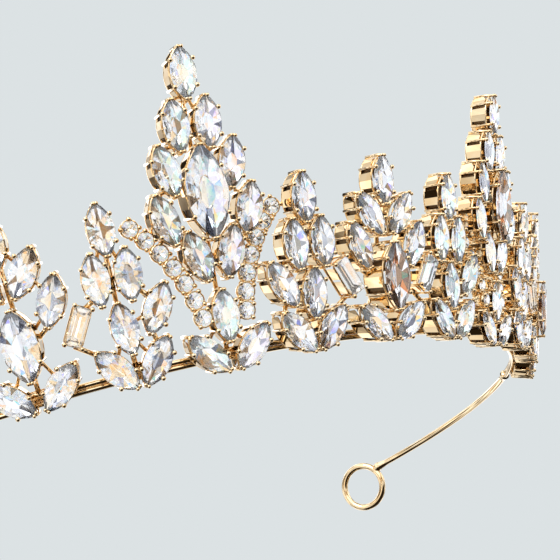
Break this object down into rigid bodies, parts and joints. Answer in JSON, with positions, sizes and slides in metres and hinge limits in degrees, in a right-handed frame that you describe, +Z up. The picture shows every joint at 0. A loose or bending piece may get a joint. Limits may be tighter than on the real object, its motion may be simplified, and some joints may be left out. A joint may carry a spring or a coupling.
{
  "type": "bridal tiara",
  "caption": "Crown-shaped tiara of clear marquise stones in open gold settings on a double wire band, with bare wire tails ending in loops.",
  "frame": {"origin": "middle of the footprint, on the surface the tiara stands on", "axes": "+Z up, -Y the front of the tiara where the tallest peak is, +X to the right of a viewer who faces that front. Node names say left and right as that viewer sees them, which is the other way round for the wearer."},
  "size_m": [0.1762, 0.1378, 0.0468],
  "materials": {
    "gold_plate": "polished",
    "crystal": "polished"
  },
  "bodies": {
    "root": {"centre_peak_setting": "gold_plate", "centre_peak_top_stone": "crystal", "centre_peak_centre_stone": "crystal", "left_1_bud_setting": "gold_plate", "left_1_bud_top_stone": "crystal", "left_1_bud_centre_stone": "crystal", "left_1_bud_baguette": "crystal", "right_1_bud_setting": "gold_plate", "right_1_bud_top_stone": "crystal", "right_1_bud_centre_stone": "crystal", "right_1_bud_baguette": "crystal", "left_2_fan_setting": "gold_plate", "left_2_fan_top_stone": "crystal", "left_2_fan_centre_stone": "crystal", "right_2_fan_setting": "gold_plate", "right_2_fan_top_stone": "crystal", "right_2_fan_centre_stone": "crystal", "left_3_bud_setting": "gold_plate", "left_3_bud_top_stone": "crystal", "left_3_bud_centre_stone": "crystal", "left_3_bud_baguette": "crystal", "right_3_bud_setting": "gold_plate", "right_3_bud_top_stone": "crystal", "right_3_bud_centre_stone": "crystal", "right_3_bud_baguette": "crystal", "left_4_peak_setting": "gold_plate", "left_4_peak_top_stone": "crystal", "left_4_peak_centre_stone": "crystal", "right_4_peak_setting": "gold_plate", "right_4_peak_top_stone": "crystal", "right_4_peak_centre_stone": "crystal", "left_5_bud_setting": "gold_plate", "left_5_bud_top_stone": "crystal", "left_5_bud_centre_stone": "crystal", "left_5_bud_baguette": "crystal", "right_5_bud_setting": "gold_plate", "right_5_bud_top_stone": "crystal", "right_5_bud_centre_stone": "crystal", "right_5_bud_baguette": "crystal", "left_6_fan_setting": "gold_plate", "left_6_fan_top_stone": "crystal", "left_6_fan_centre_stone": "crystal", "right_6_fan_setting": "gold_plate", "right_6_fan_top_stone": "crystal", "right_6_fan_centre_stone": "crystal", "left_7_bud_setting": "gold_plate", "left_7_bud_top_stone": "crystal", "left_7_bud_centre_stone": "crystal", "left_7_bud_baguette": "crystal", "right_7_bud_setting": "gold_plate", "right_7_bud_top_stone": "crystal", "right_7_bud_centre_stone": "crystal", "right_7_bud_baguette": "crystal", "band_wire_lower": "gold_plate", "band_wire_upper": "gold_plate", "left_tail_wire": "gold_plate", "left_end_loop": "gold_plate", "right_tail_wire": "gold_plate", "right_end_loop": "gold_plate"}
  },
  "joints": []
}
